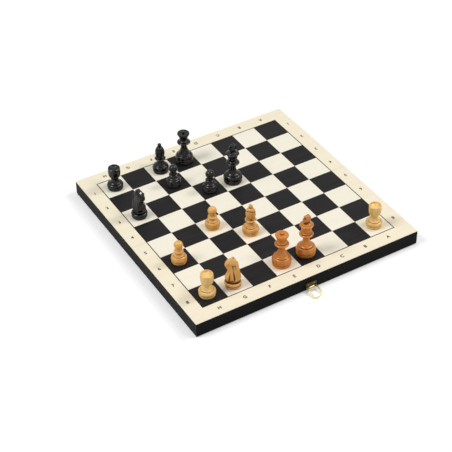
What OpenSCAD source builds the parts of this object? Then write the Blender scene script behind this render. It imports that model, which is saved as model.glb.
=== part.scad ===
// Folding games compendium. Two shallow trays are hinged along one long side. Closed, they make a flat
// case that a brass clasp holds shut. Laid open with their rims down they show a chess board, and turned
// over they show the backgammon points inside. Here the case lies open as a chess board, with the men of
// a game in progress standing on it, and the stones and dice lying under its front tray.
// X runs along the fold, Y towards the back tray, Z up. All sizes are in millimetres.

/* [Chess board] */
// Side of one chess square
square = 40; // [36:0.5:46]
// Border between the chess field and the edge of the board
border = 25; // [20:0.5:32]
// Width of the black line round the chess field
line_w = 1.4; // [0.6:0.1:2]
// Thickness of the veneers, outside and inside
veneer_t = 0.6; // [0.4:0.1:1]
// Knife line left between neighbouring squares
inlay_gap = 0.04; // [0.02:0.01:0.1]

/* [Trays] */
// Thickness of one tray, half that of the closed case
tray_t = 23; // [20:0.5:32]
// Thickness of the panel that carries the chess board
panel_t = 3.4; // [2.5:0.1:5]
// Width of the rails
rail_w = 9; // [8:0.5:12]
// Gap between the trays at the fold
fold_gap = 0.3; // [0.1:0.1:0.6]

/* [Backgammon field] */
// Length of the points
point_l = 110; // [80:1:130]
// Width of a point at its base
point_w = 20.5; // [14:0.5:22]

/* [Hinges] */
// Length of a hinge along the fold
hinge_l = 28; // [22:1:36]
// Middle of a hinge from the side of the case
hinge_inset = 46; // [36:1:80]
// Diameter of the hinge barrels
barrel_d = 3; // [2.8:0.1:3.6]
// Diameter of the hinge pins
hinge_pin_d = 1.4; // [1:0.1:1.6]
// Thickness of the hinge leaves
leaf_t = 1; // [0.8:0.1:1.2]
// How far a leaf stops short of the rail's inner edge
leaf_margin = 1.4; // [1:0.1:2]
// How deep a leaf lies below the rim
leaf_sink = 0.1; // [0.05:0.05:0.2]
// Distance between the two screws of a leaf
screw_pitch = 17; // [14:1:19]
// Diameter of the screws' shanks
screw_d = 1.8; // [1.4:0.1:2.2]
// Diameter of the screws' heads
screw_head_d = 3.4; // [2.8:0.1:3.8]
// Length of the screws
screw_l = 9; // [6:0.5:12]

/* [Clasp] */
// Width of the clasp plate and its hasp
clasp_w = 18; // [16:0.5:22]
// Height of the clasp plate above its hinge line
clasp_h = 8; // [7:0.5:10]
// Thickness of the clasp plate and the catch plate
plate_t = 0.8; // [0.6:0.1:0.9]
// Height of the clasp's hinge line above the rim
clasp_up = 4; // [3.5:0.5:6]
// Diameter of the clasp's barrel
clasp_barrel_d = 2.8; // [2.6:0.1:3.2]
// Diameter of the clasp's pin
clasp_pin_d = 1.2; // [0.9:0.1:1.5]
// Length of the hasp from its hinge line
hasp_l = 21; // [19:0.5:24]
// Thickness of the hasp
hasp_t = 1; // [0.8:0.1:1]
// Width of the hasp's two arms
hasp_arm = 3; // [2:0.1:3.4]
// Width of the bar across the hasp's free end
hasp_bar = 3; // [2:0.1:4]
// Width of the catch plate
catch_w = 14; // [13:0.5:18]
// Height of the catch plate
catch_h = 11; // [10:0.5:14]
// Width of the nose that the hasp snaps over
nose_w = 6; // [4:0.5:8]
// How far the nose stands out of the catch plate
nose_out = 2.4; // [1.6:0.1:2.8]
// Diameter of the nails' shanks
nail_d = 1; // [0.8:0.1:1.2]
// Diameter of the nails' heads
nail_head_d = 1.9; // [1.6:0.1:2]
// Length of the nails
nail_l = 6; // [4:0.5:7.5]

/* [Stones and dice] */
// Diameter of the stones
stone_d = 27; // [24:0.5:29]
// Thickness of the stones
stone_t = 8.5; // [6:0.5:10]
// Side of a die
die_w = 14.5; // [12:0.5:16]
// Diameter of a die's pips
pip_d = 2.2; // [1.6:0.1:2.6]

/* [Men] */
// Thickness of the felt under each man
felt_t = 0.8; // [0.6:0.1:1.5]
// How far the felt stays inside the foot
felt_in = 1; // [0.5:0.1:2]

/* [Pawn] */
// Height of a pawn
pawn_h = 36.6; // [34:0.1:42]
// Diameter of a pawn's foot
pawn_foot_d = 23; // [20:0.1:26]
// Height of a pawn's foot up to its ledge
pawn_foot_h = 12.2; // [10:0.1:13]
// Diameter of a pawn's stem
pawn_stem_d = 9; // [7:0.1:10]
// Diameter of a pawn's collar
pawn_collar_d = 14; // [12:0.1:17]
// Height of a pawn's collar
pawn_collar_z = 19.4; // [18:0.1:21]
// Diameter of a pawn's head
pawn_head_d = 13.4; // [12:0.1:15]

/* [Rook] */
// Height of a rook
rook_h = 37.6; // [34:0.1:44]
// Diameter of a rook's foot
rook_foot_d = 24.8; // [22:0.1:28]
// Height of a rook's foot up to its ledge
rook_foot_h = 10.4; // [9:0.1:12]
// Diameter of a rook's stem
rook_stem_d = 10.2; // [9:0.1:13]
// Diameter of a rook's head
rook_head_d = 18.8; // [17:0.1:22]
// Height of a rook's head
rook_head_h = 13; // [10:0.1:15]
// Diameter of the dish in a rook's head
rook_dish_d = 14.4; // [10:0.1:15]
// Depth of the dish in a rook's head
rook_dish_z = 3.6; // [2:0.1:5]

/* [Knight] */
// Height of a knight
knight_h = 49; // [46:0.1:54]
// Diameter of a knight's foot
knight_foot_d = 24.4; // [22:0.1:28]
// Height of a knight's foot up to its ledge
knight_foot_h = 9; // [8:0.1:9.5]
// Thickness of a knight's head
knight_head_t = 11; // [9:0.1:13]
// Thickness of a knight's mane at the back of its neck
knight_mane_t = 5; // [3.5:0.1:7]

/* [Bishop] */
// Height of a bishop
bishop_h = 51.4; // [48:0.1:56]
// Diameter of a bishop's foot
bishop_foot_d = 25; // [22:0.1:28]
// Height of a bishop's foot up to its ledge
bishop_foot_h = 12.4; // [10:0.1:14]
// Diameter of a bishop's stem
bishop_stem_d = 8.2; // [7:0.1:10]
// Diameter of a bishop's collar
bishop_collar_d = 17; // [14:0.1:19]
// Height of a bishop's collar
bishop_collar_z = 24.3; // [22:0.1:26]
// Diameter of a bishop's mitre
bishop_mitre_d = 14.8; // [13:0.1:18]
// Diameter of the ball on a bishop's mitre
bishop_ball_d = 6.2; // [5:0.1:7]
// Width of the cut in a bishop's mitre
mitre_cut = 1.3; // [0.8:0.1:2]
// Slope of the cut in a bishop's mitre, down into the wood
mitre_slope = 32; // [20:1:45]

/* [Queen] */
// Height of a queen
queen_h = 57; // [54:0.1:62]
// Diameter of a queen's foot
queen_foot_d = 28.2; // [25:0.1:32]
// Height of a queen's foot up to its ledge
queen_foot_h = 15; // [12:0.1:17]
// Diameter of a queen's stem
queen_stem_d = 9.2; // [8:0.1:12]
// Diameter of a queen's collar
queen_collar_d = 21; // [18:0.1:23]
// Height of a queen's collar
queen_collar_z = 36; // [34:0.1:38]
// Diameter of a queen's crown
queen_crown_d = 19.4; // [17:0.1:22]
// Diameter of the ball in a queen's crown
queen_ball_d = 5.6; // [5:0.1:7]

/* [King] */
// Height of a king
king_h = 67.4; // [65:0.1:72]
// Diameter of a king's foot
king_foot_d = 29; // [26:0.1:32]
// Height of a king's foot up to its ledge
king_foot_h = 13.4; // [11:0.1:15]
// Diameter of a king's stem
king_stem_d = 9.6; // [8:0.1:12]
// Diameter of a king's collar
king_collar_d = 21; // [18:0.1:23]
// Height of a king's collar
king_collar_z = 33.6; // [31:0.1:36]
// Diameter of a king's crown
king_crown_d = 20.8; // [18:0.1:24]
// Width of the cross on a king's crown
cross_w = 10.6; // [8:0.1:12]
// Thickness of the cross on a king's crown
cross_t = 5; // [4:0.1:6]
// Height of the cross on a king's crown
cross_h = 12.4; // [10:0.1:14]

/* [Hidden] */
$fn = 64;

// Which tray a piece belongs to
FRONT = -1;
BACK = 1;

// Radial play of a pin in its knuckles
run_gap = 0.05;
// Play between neighbouring knuckles, along the pin
knuckle_gap = 0.15;
// Play round a screw, a nail or a leaf in its seat
seat_gap = 0.02;
// Room round a barrel in the rails
barrel_room = 0.3;
// Glue line between a man and its felt
glue_t = 0.05;
// How far a cut runs past the face that it opens
past = 0.5;
// Room between a nail's head and the hasp's arm beside it when the case is shut
nail_room = 0.4;

// Heights, from the table up: the hinge barrels touch it, so the rims stand half a barrel above
rim_z = barrel_d / 2;
board_z = rim_z + tray_t;
panel_top_z = board_z - veneer_t;
panel_z = panel_top_z - panel_t;
field_z = panel_z - veneer_t;

// Plan of one tray, measured from the fold
board_w = 8 * square + 2 * border;
tray_d = 4 * square + border;
fold_edge = fold_gap / 2;
field_y0 = fold_edge + rail_w;
field_y1 = tray_d - rail_w;
field_x = board_w / 2 - rail_w;
point_pitch = (field_y1 - field_y0) / 6;

// Hinges: leaves, knuckles and screws
leaf_w = rail_w - leaf_margin;
leaf_z = rim_z + leaf_sink;
knuckle_l = hinge_l / 3;
hinge_x = board_w / 2 - hinge_inset;
screw_y = (barrel_d / 2 + leaf_w) / 2;
screw_head_h = min((screw_head_d - screw_d) / 2, leaf_t - 0.1);
screw_slot = screw_d / 4;

// Clasp: the axis of its hinge, and the slope at which the hasp rests with its end on the table
clasp_z = rim_z + clasp_up;
clasp_r = clasp_barrel_d / 2;
clasp_off = clasp_r + 0.1;
clasp_mid = clasp_w / 2;
hasp_rest = asin(clasp_z / norm([hasp_l, hasp_t / 2])) - atan2(hasp_t / 2, hasp_l);
hasp_start = clasp_r + 0.4;
hasp_window = hasp_start + 2;
hasp_window_w = clasp_w - 2 * hasp_arm;
hasp_corner = hasp_arm + 1.2;
clasp_nail_x = hasp_window_w / 2 - nail_head_d / 2 - nail_room;
clasp_nail_z = clasp_z + clasp_h * 0.62;
catch_z = rim_z + 2;
nose_h = 3.4;
nose_z = rim_z + hasp_l - hasp_bar - clasp_up - 0.4;
catch_nail_x = min(catch_w, hasp_window_w) / 2 - nail_head_d / 2 - nail_room;
catch_nail_z = catch_z + nail_head_d / 2 + 1;
nail_head_h = nail_head_d * 0.28;

// How far the clasp and the catch reach from the fold, and the fold's place between them
front_reach = tray_d + clasp_off + hasp_l * cos(hasp_rest) + hasp_t / 2 * sin(hasp_rest);
back_reach = tray_d + plate_t + nose_out;
fold_y = (front_reach - back_reach) / 2;

// Stones lie in blocks of three by five at the two ends of the tray
stone_pitch = stone_d + 1;
stone_rim = stone_t / 3;
stone_x = field_x - 1.5 - stone_d / 2;
stone_y = tray_d / 2;
die_x = stone_x - 2 * stone_pitch - stone_d / 2 - 4 - die_w / 2;
die_round = die_w * 0.71;
pip_deep = 0.4;

// Where each man stands: his file from the left and his rank from the front, counted from 0, and how
// far off the middle of the square he stands
white_king_at = [4, 0, 1, 0.5];
white_queen_at = [3, 0, -1, -1];
white_bishop_at = [3, 2, -1.5, 0.5];
white_knight_at = [1, 0, -2, -3];
white_rook_1_at = [0, 0, -2, -1];
white_rook_2_at = [7, 0, -1, -1];
white_pawn_1_at = [0, 2, -1, -0.5];
white_pawn_2_at = [2, 3, -2, 0.5];
black_king_at = [4, 5, 0, -1];
black_queen_at = [3, 7, 2, 2];
black_bishop_at = [2, 7, -1, 0];
black_knight_at = [0, 5, -1, -1];
black_rook_at = [0, 7, 0, -1];
black_pawn_1_at = [2, 6, -1, -1.5];
black_pawn_2_at = [3, 5, -1, -2.5];
// The way each knight looks, turned from +X
white_knight_turn = 128;
black_knight_turn = -68;
// The way the kings' crosses and the cuts in the bishops' mitres face, turned from +X
cross_turn = -80;
mitre_turn = -132;

echo(fold_y = fold_y, hasp_rest = hasp_rest, clasp_axis = [fold_y - tray_d - clasp_off, clasp_z]);
echo(hasp_shut = 90 - hasp_rest, board_z = board_z, panel_z = panel_z, field_z = field_z);
echo(reach = (front_reach + back_reach) / 2, field_x = field_x, field_y0 = field_y0, field_y1 = field_y1);

// Puts a piece of one tray, drawn outwards from the fold, at the fold's place
module in_tray(side) {
    translate([0, fold_y, 0])
        if (side == FRONT)
            mirror([0, 1, 0]) children();
        else
            children();
}

// A plate that lies between two heights
module slab(z0, z1) {
    translate([0, 0, z0]) linear_extrude(z1 - z0) children();
}

// A cylinder along X, centred on the origin
module bar_x(d, l) {
    rotate([0, 90, 0]) cylinder(h = l, d = d, center = true);
}

// Puts its children on both hinges
module at_hinges() {
    for (s = [-1, 1])
        translate([s * hinge_x, 0, 0]) children();
}

// Puts its children on both screws of one hinge leaf
module at_screws() {
    for (s = [-1, 1])
        translate([s * screw_pitch / 2, screw_y, leaf_z]) children();
}

// Puts its children on a pair of nails in the outer face of a tray, pointing outwards
module at_nails(x, z) {
    for (s = [-1, 1])
        translate([s * x, tray_d, z]) rotate([-90, 0, 0]) children();
}

// Screw with a countersunk slotted head, its head's face at the origin and its point up
module screw(gap) {
    cylinder(h = screw_head_h, d1 = screw_head_d + 2 * gap, d2 = screw_d + 2 * gap);
    cylinder(h = screw_l + gap, d = screw_d + 2 * gap);
}

// Round-headed nail, its head resting on a plate on the outer face of a tray
module nail() {
    translate([0, 0, plate_t + seat_gap]) cylinder(h = nail_head_h / 2, d = nail_head_d);
    translate([0, 0, plate_t + seat_gap + nail_head_h / 2])
        cylinder(h = nail_head_h / 2, d1 = nail_head_d, d2 = nail_head_d * 0.6);
    translate([0, 0, plate_t - nail_l]) cylinder(h = nail_l + 2 * seat_gap, d = nail_d);
}

// Hole for a nail, through a plate and into the rail behind it
module nail_hole() {
    translate([0, 0, plate_t - nail_l - seat_gap])
        cylinder(h = nail_l + past, d = nail_d + 2 * seat_gap);
}

// ---- Trays ----

// Rail at the outer edge, mitred at its ends, drilled for the nails of what is fixed on it
module outer_rail(side, nail_x, nail_z) {
    color("#1c1a1a") in_tray(side) difference() {
        slab(rim_z, panel_z)
            polygon([[-board_w / 2, tray_d], [board_w / 2, tray_d],
                     [field_x, field_y1], [-field_x, field_y1]]);
        at_nails(nail_x, nail_z) nail_hole();
    }
}

// Rail at the fold, with the seats of the hinges
module hinge_rail(side) {
    color("#1c1a1a") in_tray(side) difference() {
        slab(rim_z, panel_z)
            polygon([[-board_w / 2, fold_edge], [board_w / 2, fold_edge],
                     [field_x, field_y0], [-field_x, field_y0]]);
        at_hinges() {
            translate([0, 0, rim_z]) bar_x(barrel_d + 2 * barrel_room, hinge_l + 2 * barrel_room);
            translate([-hinge_l / 2 - seat_gap, 0, rim_z - past])
                cube([hinge_l + 2 * seat_gap, leaf_w + seat_gap, past + leaf_sink + leaf_t]);
            at_screws() screw(seat_gap);
        }
    }
}

// Rail at one side, mitred at its ends
module side_rail(side, hand) {
    color("#1c1a1a") in_tray(side) slab(rim_z, panel_z)
        polygon([[hand * board_w / 2, fold_edge], [hand * board_w / 2, tray_d],
                 [hand * field_x, field_y1], [hand * field_x, field_y0]]);
}

// Panel across the rails, under the chess veneer
module panel(side) {
    color("#1c1a1a") in_tray(side)
        translate([-board_w / 2, fold_edge, panel_z]) cube([board_w, tray_d - fold_edge, panel_t]);
}

// Plan of the chess field of one tray, grown outwards but not across the fold
module field_plan(grow) {
    translate([-4 * square - grow, fold_edge])
        square_plan(8 * square + 2 * grow, 4 * square + grow - fold_edge);
}

module square_plan(w, d) {
    polygon([[0, 0], [w, 0], [w, d], [0, d]]);
}

// Veneer of the border, on three sides of the chess field
module border_veneer(side) {
    color("#f6ecd2") in_tray(side) slab(panel_top_z, board_z) difference() {
        translate([-board_w / 2, fold_edge]) square_plan(board_w, tray_d - fold_edge);
        translate([0, -past]) field_plan(line_w);
        field_plan(line_w);
    }
}

// Black line between the border and the chess field
module stringing(side) {
    color("#141212") in_tray(side) slab(panel_top_z, board_z) difference() {
        field_plan(line_w);
        translate([0, -past]) field_plan(0);
        field_plan(0);
    }
}

// Squares of one colour, 0 for the dark ones and 1 for the light ones
module squares(side, colour) {
    for (file = [0:7], row = [0:3]) {
        rank = side == FRONT ? 3 - row : 4 + row;
        y0 = max(row * square + inlay_gap / 2, fold_edge);
        if ((file + rank) % 2 == colour)
            in_tray(side) translate([(file - 4) * square + inlay_gap / 2, y0, panel_top_z])
                cube([square - inlay_gap, (row + 1) * square - inlay_gap / 2 - y0, veneer_t]);
    }
}

module light_squares(side) {
    color("#f6ecd2") squares(side, 1);
}

module dark_squares(side) {
    color("#2e2b2b") squares(side, 0);
}

// Plan of the points that one test picks: the long triangles at both ends of a tray
module points_plan(side, kind) {
    for (hand = [-1, 1], k = [0:5])
        if (point_kind(side, hand, k) == kind)
            translate([0, field_y0 + (k + 0.5) * point_pitch])
                polygon([[hand * field_x, -point_w / 2], [hand * field_x, point_w / 2],
                         [hand * (field_x - point_l), 0]]);
}

// Colour of a point: every other one is dark, and of the three brown ones the middle one is tan
function point_kind(side, hand, k) =
    (k + (side * hand > 0 ? 0 : 1)) % 2 == 0 ? "dark" : (k == 2 || k == 3) ? "tan" : "brown";

module points(side, kind) {
    in_tray(side) slab(field_z, panel_z) points_plan(side, kind);
}

module dark_points(side) {
    color("#3c3e3a") points(side, "dark");
}

module tan_points(side) {
    color("#cd7d41") points(side, "tan");
}

module brown_points(side) {
    color("#964628") points(side, "brown");
}

// Veneer of the backgammon field, cut out for the points
module field_veneer(side) {
    color("#fcecd4") in_tray(side) slab(field_z, panel_z) difference() {
        translate([-field_x, field_y0]) square_plan(2 * field_x, field_y1 - field_y0);
        for (kind = ["dark", "tan", "brown"])
            points_plan(side, kind);
    }
}

// ---- Hinges ----

// Leaves of both hinges on one tray: the front ones carry the outer knuckles, the back ones the middle one
module hinge_leaves(side) {
    color("#c9b56b") in_tray(side) at_hinges() difference() {
        union() {
            difference() {
                translate([-hinge_l / 2, 0, leaf_z]) cube([hinge_l, leaf_w, leaf_t]);
                knuckles(-side, barrel_d + 2 * knuckle_gap, knuckle_l + 2 * knuckle_gap);
            }
            knuckles(side, barrel_d, knuckle_l - knuckle_gap);
        }
        translate([0, 0, rim_z]) bar_x(hinge_pin_d + 2 * run_gap, hinge_l + 2 * past);
        at_screws() screw(seat_gap);
    }
}

// Knuckles of one leaf: the middle one of the back leaf, or the two outer ones of the front leaf
module knuckles(side, d, l) {
    for (k = side == BACK ? [0] : [-1, 1])
        translate([k * knuckle_l, 0, rim_z]) bar_x(d, l);
}

module hinge_pins() {
    color("#8f8a7c") in_tray(FRONT) at_hinges()
        translate([0, 0, rim_z]) bar_x(hinge_pin_d, hinge_l);
}

module hinge_screws(side) {
    color("#b9a765") in_tray(side) at_hinges() at_screws() difference() {
        screw(0);
        translate([-screw_slot / 2, -screw_head_d, -past]) cube([screw_slot, 2 * screw_head_d, past + 0.35]);
    }
}

// ---- Clasp ----

// Plate with rounded upper corners, on the outer face of a tray, from one height to another
module face_plate(w, z0, z1, corner) {
    translate([0, tray_d + plate_t, 0]) rotate([90, 0, 0]) linear_extrude(plate_t) {
        translate([-w / 2, z0]) square_plan(w, z1 - corner - z0);
        translate([-w / 2 + corner, z1 - corner - past]) square_plan(w - 2 * corner, corner + past);
        for (s = [-1, 1])
            translate([s * (w / 2 - corner), z1 - corner]) circle(r = corner);
    }
}

// Plate on the front rail, with the two outer knuckles of the clasp's hinge
module clasp_plate() {
    color("#c9b56b") in_tray(FRONT) difference() {
        union() {
            face_plate(clasp_w, clasp_z, clasp_z + clasp_h, 2.4);
            for (s = [-1, 1])
                translate([s * (clasp_w + clasp_mid) / 4, tray_d + clasp_off, clasp_z])
                    bar_x(clasp_barrel_d, (clasp_w - clasp_mid) / 2);
        }
        translate([0, tray_d + clasp_off, clasp_z]) {
            bar_x(clasp_pin_d + 2 * run_gap, clasp_w + 2 * past);
            bar_x(clasp_barrel_d + 4 * knuckle_gap, clasp_mid);
        }
        at_nails(clasp_nail_x, clasp_nail_z) nail_hole();
    }
}

// Outline of the hasp, from its hinge line outwards
module hasp_plan() {
    difference() {
        union() {
            translate([-clasp_w / 2, hasp_start]) square_plan(clasp_w, hasp_l - hasp_corner - hasp_start);
            translate([-clasp_w / 2 + hasp_corner, hasp_start])
                square_plan(clasp_w - 2 * hasp_corner, hasp_l - hasp_start);
            for (s = [-1, 1])
                translate([s * (clasp_w / 2 - hasp_corner), hasp_l - hasp_corner]) circle(r = hasp_corner);
            translate([-clasp_mid / 2 + knuckle_gap, 0])
                square_plan(clasp_mid - 2 * knuckle_gap, hasp_start + past);
        }
        translate([-hasp_window_w / 2, hasp_window])
            square_plan(hasp_window_w, hasp_l - hasp_bar - hasp_window);
    }
}

// Hasp: a frame with the middle knuckle of the clasp's hinge, its free end resting on the table
module hasp() {
    color("#d8cd9c") in_tray(FRONT)
        translate([0, tray_d + clasp_off, clasp_z]) rotate([-hasp_rest, 0, 0]) difference() {
            union() {
                slab(-hasp_t / 2, hasp_t / 2) hasp_plan();
                bar_x(clasp_barrel_d, clasp_mid - 2 * knuckle_gap);
            }
            bar_x(clasp_pin_d + 2 * run_gap, clasp_w);
        }
}

module clasp_pin() {
    color("#8f8a7c") in_tray(FRONT)
        translate([0, tray_d + clasp_off, clasp_z]) bar_x(clasp_pin_d, clasp_w);
}

module clasp_nails() {
    color("#b9a765") in_tray(FRONT) at_nails(clasp_nail_x, clasp_nail_z) nail();
}

// Catch plate on the back rail, with the nose that the hasp's end bar snaps under
module catch_plate() {
    color("#c9b56b") in_tray(BACK) difference() {
        union() {
            face_plate(catch_w, catch_z, catch_z + catch_h, 1.6);
            translate([0, tray_d + plate_t, nose_z - nose_h]) rotate([90, 0, 90])
                linear_extrude(nose_w, center = true)
                    polygon([[-plate_t / 2, 0], [nose_out * 0.7, nose_h * 0.45], [nose_out, nose_h * 0.75],
                             [nose_out, nose_h * 0.9], [nose_out * 0.8, nose_h], [-plate_t / 2, nose_h]]);
        }
        at_nails(catch_nail_x, catch_nail_z) nail_hole();
    }
}

module catch_nails() {
    color("#b9a765") in_tray(BACK) at_nails(catch_nail_x, catch_nail_z) nail();
}

// ---- Stones and dice ----

// Stone with a rounded edge and a shallow dished face
module stone() {
    r = stone_d / 2;
    rotate_extrude() polygon(concat(
        [[0, 0.3], [r * 0.62, 0]],
        end_upright(r - stone_rim, 0, r, stone_t / 2),
        leave_upright(r, stone_t / 2, r - stone_rim, stone_t),
        [[r * 0.62, stone_t], [0, stone_t - 0.3]]));
}

// Block of fifteen stones at one end of the front tray, on the table under it
module stones(hand) {
    in_tray(FRONT)
        for (column = [0:2], row = [-2:2])
            translate([hand * (stone_x - column * stone_pitch), stone_y + row * stone_pitch, 0]) stone();
}

module pale_stones() {
    color("#ebc8af") stones(-1);
}

module maroon_stones() {
    color("#6e323a") stones(1);
}

// Places of the pips on a face that shows a number from 1 to 6, in steps from the middle
function pips(number) = concat(
    number % 2 == 1 ? [[0, 0]] : [],
    number > 1 ? [[-1, -1], [1, 1]] : [],
    number > 3 ? [[-1, 1], [1, -1]] : [],
    number == 6 ? [[-1, 0], [1, 0]] : []);

// Die with rounded corners, standing on the table; opposite faces add up to seven
module die() {
    faces = [[1, 0, 0], [6, 180, 0], [2, 90, 0], [5, -90, 0], [3, 0, 90], [4, 0, -90]];
    translate([0, 0, die_w / 2]) difference() {
        intersection() {
            cube(die_w, center = true);
            sphere(r = die_round);
        }
        for (f = faces)
            rotate([f[1], f[2], 0])
                for (p = pips(f[0]))
                    translate([p.x * die_w * 0.26, p.y * die_w * 0.26, die_w / 2 - pip_deep])
                        cylinder(h = past + pip_deep, d = pip_d);
    }
}

module dice() {
    color("#202022") in_tray(FRONT)
        for (s = [-1, 1])
            translate([-die_x, stone_y + s * die_w, 0]) rotate(s * 12) die();
}

// ---- Men ----

// Quarter of an ellipse from one point of a profile to the next that starts upright and ends level
function leave_upright(r0, z0, r1, z1, n = 6) =
    [for (i = [0:n]) let (a = 90 * i / n) [r1 + (r0 - r1) * cos(a), z0 + (z1 - z0) * sin(a)]];

// Quarter of an ellipse from one point of a profile to the next that starts level and ends upright
function end_upright(r0, z0, r1, z1, n = 6) =
    [for (i = [0:n]) let (a = 90 * i / n) [r0 + (r1 - r0) * sin(a), z1 - (z1 - z0) * cos(a)]];

// Stretch of a profile from one point to the next that swells by a given amount, or is hollow below 0
function bow(r0, z0, r1, z1, swell, n = 6) =
    [for (i = [0:n]) [r0 + (r1 - r0) * i / n + swell * sin(180 * i / n), z0 + (z1 - z0) * i / n]];

// Arc of a ball on the axis, from the radius of the neck under it up to the radius of its top
function ball(r, z, neck_r, top_r, n = 12) =
    let (a0 = -acos(neck_r / r), a1 = acos(top_r / r))
    [for (i = [0:n]) let (a = a0 + (a1 - a0) * i / n) [r * cos(a), z + r * sin(a)]];

// Size of the fine mouldings on a man, from the radius of his foot
function moulding(r) = r / 12;

// Turned foot: a ring, a groove, a round shoulder and the ledge that the stem rises from
function foot(r, h, ledge) =
    let (m = moulding(r), groove_z = 4.4 * m)
    concat(
        [[0, felt_t + glue_t]],
        bow(r - 0.9 * m, felt_t + glue_t, r - 0.9 * m, groove_z - 0.6 * m, 0.6 * m),
        [[r - 1.5 * m, groove_z]],
        end_upright(r - 1.2 * m, groove_z + 0.1 * m, r, groove_z + 1.6 * m, 4),
        leave_upright(r, groove_z + 1.8 * m, ledge, h));

// Ledge on the foot and the hollow stem over it, up to a given radius and height
function stem(r, h, ledge, stem_r, z, hollow) =
    let (m = moulding(r))
    concat(
        bow(ledge - 0.2 * m, h + 0.1 * m, ledge - 0.6 * m, h + 1.5 * m, 0.6 * m, 5),
        bow(ledge - 0.9 * m, h + 1.6 * m, stem_r, z, -hollow * m));

// Collar of a king or a queen: a cone, a broad ring and a smaller one over it
function broad_collar(m, stem_r, r, z) = concat(
    [[stem_r, z - 4.4 * m], [r - 2.6 * m, z - 1.9 * m]],
    bow(r - 1.2 * m, z - 1.4 * m, r - 1.2 * m, z + 1.2 * m, 1.2 * m),
    [[r - 2.8 * m, z + 1.4 * m]],
    bow(r - 3 * m, z + 1.6 * m, r - 3.2 * m, z + 2.8 * m, 0.5 * m, 4));

// Man turned from a profile that starts with his foot, standing on his felt
module turned(foot_d, points) {
    cylinder(h = felt_t, d = foot_d - 2 * felt_in);
    rotate_extrude() polygon(points);
}

function pawn_points() =
    let (r = pawn_foot_d / 2, m = moulding(r), h = pawn_foot_h, ledge = r * 0.68, neck = pawn_stem_d / 2,
         c = pawn_collar_z)
    concat(
        foot(r, h, ledge),
        stem(r, h, ledge, neck, c - 1.9 * m, 0.4),
        bow(neck, c - 1.8 * m, neck, c + 1.8 * m, pawn_collar_d / 2 - neck),
        ball(pawn_head_d / 2, pawn_h - pawn_head_d / 2, neck - 0.4 * m, 0));

function rook_points() =
    let (r = rook_foot_d / 2, m = moulding(r), h = rook_foot_h, ledge = r * 0.72, neck = rook_stem_d / 2,
         head = rook_head_d / 2, wall_z = rook_h - rook_head_h)
    concat(
        foot(r, h, ledge),
        stem(r, h, ledge, neck, wall_z - 6.6 * m, 0.6),
        bow(neck, wall_z - 6.4 * m, head - 0.4 * m, wall_z + 0.4 * m, 0.5 * m),
        bow(head - 0.4 * m, wall_z + 0.6 * m, head - 0.4 * m, rook_h - 0.5 * m, 0.4 * m),
        [[head - m, rook_h]],
        leave_upright(rook_dish_d / 2, rook_h, 0, rook_h - rook_dish_z));

function bishop_points() =
    let (r = bishop_foot_d / 2, m = moulding(r), h = bishop_foot_h, ledge = r * 0.71,
         neck = bishop_stem_d / 2, c = bishop_collar_z, mitre = bishop_mitre_d / 2, mitre_z = c + 9.6 * m,
         knob = bishop_ball_d / 2, knob_z = bishop_h - knob, knob_neck = knob * 0.6)
    concat(
        foot(r, h, ledge),
        stem(r, h, ledge, neck, c - 3.2 * m, 0.5),
        bow(neck + m, c - 1.9 * m, neck + m, c + 1.5 * m, bishop_collar_d / 2 - neck - m),
        bow(neck + 1.1 * m, c + 1.7 * m, neck + 0.9 * m, c + 3 * m, 0.7 * m, 4),
        [[neck + 0.5 * m, c + 3.4 * m]],
        end_upright(neck + 0.8 * m, c + 3.9 * m, mitre, mitre_z),
        leave_upright(mitre, mitre_z + 0.1 * m, knob_neck, knob_z - knob * 0.9),
        ball(knob, knob_z, knob_neck, 0));

function queen_points() =
    let (r = queen_foot_d / 2, m = moulding(r), h = queen_foot_h, ledge = r * 0.74, neck = queen_stem_d / 2,
         c = queen_collar_z, collar = queen_collar_d / 2, crown = queen_crown_d / 2, knob = queen_ball_d / 2,
         crown_z = queen_h - queen_ball_d * 0.75)
    concat(
        foot(r, h, ledge),
        stem(r, h, ledge, neck, c - 6.6 * m, 0.5),
        broad_collar(m, neck, collar, c),
        [[neck + 1.4 * m, c + 3.2 * m]],
        bow(neck + 0.8 * m, c + 4.4 * m, crown - 0.6 * m, crown_z - 1.2 * m, -0.4 * m),
        bow(crown - 0.5 * m, crown_z - m, crown - 0.5 * m, crown_z, 0.5 * m, 4),
        [[crown - 1.6 * m, crown_z], [crown - 3.2 * m, crown_z - 0.8 * m], [knob * 0.9, crown_z - m]],
        ball(knob, queen_h - knob, knob * 0.8, 0));

function king_points() =
    let (r = king_foot_d / 2, m = moulding(r), h = king_foot_h, ledge = r * 0.7, neck = king_stem_d / 2,
         c = king_collar_z, crown = king_crown_d / 2, crown_z = king_h - cross_h - 3.4 * m)
    concat(
        foot(r, h, ledge),
        stem(r, h, ledge, neck, c - 7.6 * m, 1.1),
        broad_collar(m, neck, king_collar_d / 2, c),
        [[neck + 1.2 * m, c + 3.4 * m]],
        bow(neck + 1.2 * m, c + 4 * m, crown - 2.6 * m, crown_z - 5.6 * m, 0.4 * m),
        bow(crown - 2.5 * m, crown_z - 5.5 * m, crown - 0.6 * m, crown_z - 1.2 * m, -0.4 * m),
        bow(crown - 0.5 * m, crown_z - m, crown - 0.5 * m, crown_z + 0.4 * m, 0.5 * m, 4),
        [[crown - 1.6 * m, crown_z + 0.8 * m]],
        leave_upright(crown - 2.4 * m, crown_z + 1.2 * m, 0, crown_z + 3.8 * m));

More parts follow.
